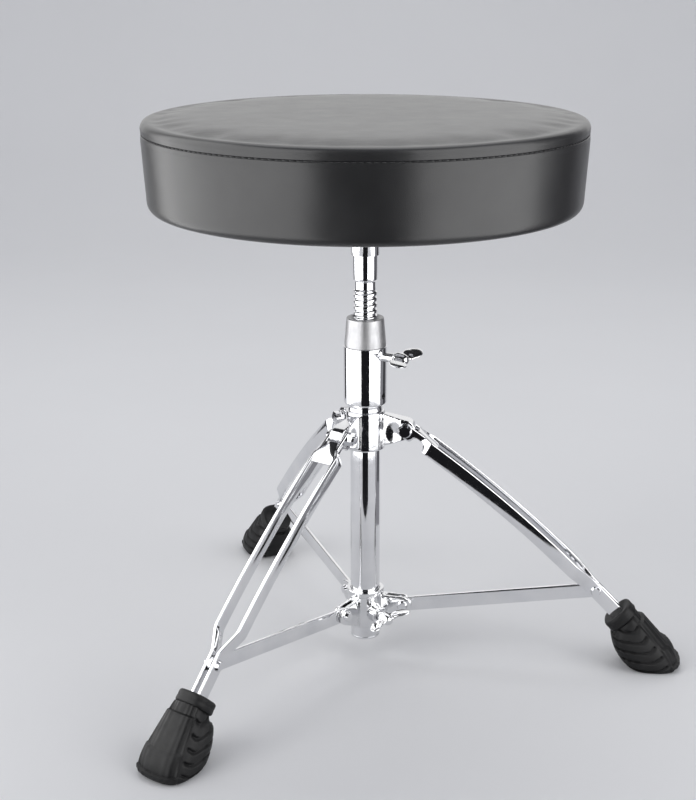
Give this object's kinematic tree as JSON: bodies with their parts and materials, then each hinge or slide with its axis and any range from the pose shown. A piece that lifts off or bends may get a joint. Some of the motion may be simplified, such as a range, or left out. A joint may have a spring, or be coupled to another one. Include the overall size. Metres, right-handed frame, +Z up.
{
  "type": "drum throne",
  "caption": "Round padded stool on a screw spindle, with a chromed folding tripod of twin flat-bar legs, flat stays and ribbed rubber boots.",
  "frame": {"origin": "on the column axis, level with the soles of the three boots", "axes": "+Z up along the column; +X towards leg 1, which stands 6 degrees to the -Y side of it"},
  "size_m": [0.4548, 0.4866, 0.4714],
  "materials": {
    "chrome": "polished chrome plate on steel",
    "satin_nut": "satin, frosted",
    "zinc_steel": "bright zinc plated",
    "nylon": "natural nylon",
    "brass_pad": "turned brass",
    "leatherette": "satin black leatherette with a fine grain",
    "foam": "open-cell foam",
    "plywood": "plain plywood",
    "dust_cloth": "black non-woven cloth",
    "rubber": "matt black moulded rubber"
  },
  "bodies": {
    "column": {"base_tube": "chrome", "tube_end_cap": "chrome", "upper_sleeve": "chrome", "sleeve_set_screw": "zinc_steel", "spindle_nut": "satin_nut", "neck_ring": "chrome", "leg_bracket": "chrome"},
    "spindle_guide": {"spindle_guide": "nylon"},
    "seat": {"spindle": "chrome", "guide_screw": "zinc_steel", "seat_bracket": "chrome", "socket_pin": "zinc_steel", "seat_bolts": "zinc_steel", "seat_tee_nuts": "zinc_steel", "seat_board": "plywood", "seat_foam": "foam", "cover_top_panel": "leatherette", "cover_side_band": "leatherette", "dust_cover": "dust_cloth", "cover_staples": "zinc_steel"},
    "lock_pad": {"lock_pad": "brass_pad"},
    "wing_bolt": {"wing_bolt": "chrome"},
    "stay_hub": {"stay_hub": "chrome", "hub_rivets": "chrome"},
    "hub_lock_pad": {"hub_lock_pad": "brass_pad"},
    "hub_wing_bolt": {"hub_wing_bolt": "chrome"},
    "leg_1": {"leg_1_rail_left": "chrome", "leg_1_rail_right": "chrome", "leg_1_bridge": "chrome", "leg_1_spacer": "zinc_steel", "leg_1_rivets": "chrome", "leg_1_pivot_bolt": "chrome", "leg_1_pivot_nut": "chrome", "leg_1_boot": "rubber"},
    "stay_1": {"stay_1": "chrome"},
    "leg_2": {"leg_2_rail_left": "chrome", "leg_2_rail_right": "chrome", "leg_2_bridge": "chrome", "leg_2_spacer": "zinc_steel", "leg_2_rivets": "chrome", "leg_2_pivot_bolt": "chrome", "leg_2_pivot_nut": "chrome", "leg_2_boot": "rubber"},
    "stay_2": {"stay_2": "chrome"},
    "leg_3": {"leg_3_rail_left": "chrome", "leg_3_rail_right": "chrome", "leg_3_bridge": "chrome", "leg_3_spacer": "zinc_steel", "leg_3_rivets": "chrome", "leg_3_pivot_bolt": "chrome", "leg_3_pivot_nut": "chrome", "leg_3_boot": "rubber"},
    "stay_3": {"stay_3": "chrome"}
  },
  "joints": [
    {"name": "seat_turn", "type": "hinge", "parent": "spindle_guide", "child": "seat", "pos_m": [0, 0, 0.4], "axis": [0, 0, 1], "range_deg": [-1620, 7200]},
    {"name": "seat_height", "type": "slide", "parent": "column", "child": "spindle_guide", "axis": [0, 0, 1], "range_m": [-0.0225, 0.1]},
    {"name": "leg_1_fold", "type": "hinge", "parent": "column", "child": "leg_1", "pos_m": [0.03431, -0.00361, 0.2095], "axis": [0.1045, 0.9945, 0], "range_deg": [0, 45]},
    {"name": "leg_2_fold", "type": "hinge", "parent": "column", "child": "leg_2", "pos_m": [-0.01403, 0.03152, 0.2095], "axis": [-0.9135, -0.4067, 0], "range_deg": [0, 45]},
    {"name": "leg_3_fold", "type": "hinge", "parent": "column", "child": "leg_3", "pos_m": [-0.02028, -0.02791, 0.2095], "axis": [0.809, -0.5878, 0], "range_deg": [0, 45]},
    {"name": "stay_hub_slide", "type": "slide", "parent": "column", "child": "stay_hub", "axis": [0, 0, 1], "range_m": [0, 0.11345]},
    {"name": "stay_1_swing", "type": "hinge", "parent": "stay_hub", "child": "stay_1", "pos_m": [0.03282, -0.00345, 0.0465], "axis": [0.1045, 0.9945, 0], "range_deg": [0, 90.84]},
    {"name": "stay_2_swing", "type": "hinge", "parent": "stay_hub", "child": "stay_2", "pos_m": [-0.01342, 0.03015, 0.0465], "axis": [-0.9135, -0.4067, 0], "range_deg": [0, 90.84]},
    {"name": "stay_3_swing", "type": "hinge", "parent": "stay_hub", "child": "stay_3", "pos_m": [-0.0194, -0.0267, 0.0465], "axis": [0.809, -0.5878, 0], "range_deg": [0, 90.84]},
    {"name": "lock_pad_slide", "type": "slide", "parent": "column", "child": "lock_pad", "axis": [0.866, -0.5, 0], "range_m": [0, 0.0025]},
    {"name": "wing_bolt_turn", "type": "hinge", "parent": "lock_pad", "child": "wing_bolt", "pos_m": [0, 0, 0.274], "axis": [0.866, -0.5, 0], "range_deg": [0, 720]},
    {"name": "hub_pad_slide", "type": "slide", "parent": "stay_hub", "child": "hub_lock_pad", "axis": [0.5736, -0.8192, 0], "range_m": [0, 0.0025]},
    {"name": "hub_bolt_turn", "type": "hinge", "parent": "hub_lock_pad", "child": "hub_wing_bolt", "pos_m": [0, 0, 0.042], "axis": [0.5736, -0.8192, 0], "range_deg": [0, 720]}
  ],
  "couplings": [
    {"joint": "seat_height", "follows": "seat_turn", "m_per_rad": 0.00079577},
    {"joint": "leg_2_fold", "follows": "leg_1_fold", "ratio": 1},
    {"joint": "leg_3_fold", "follows": "leg_1_fold", "ratio": 1},
    {"joint": "stay_hub_slide", "follows": "leg_1_fold", "m_per_rad": 0.14445},
    {"joint": "stay_1_swing", "follows": "leg_1_fold", "ratio": 2.0187},
    {"joint": "stay_2_swing", "follows": "leg_1_fold", "ratio": 2.0187},
    {"joint": "stay_3_swing", "follows": "leg_1_fold", "ratio": 2.0187},
    {"joint": "lock_pad_slide", "follows": "wing_bolt_turn", "m_per_rad": 0.00019894},
    {"joint": "hub_pad_slide", "follows": "hub_bolt_turn", "m_per_rad": 0.00019894}
  ]
}
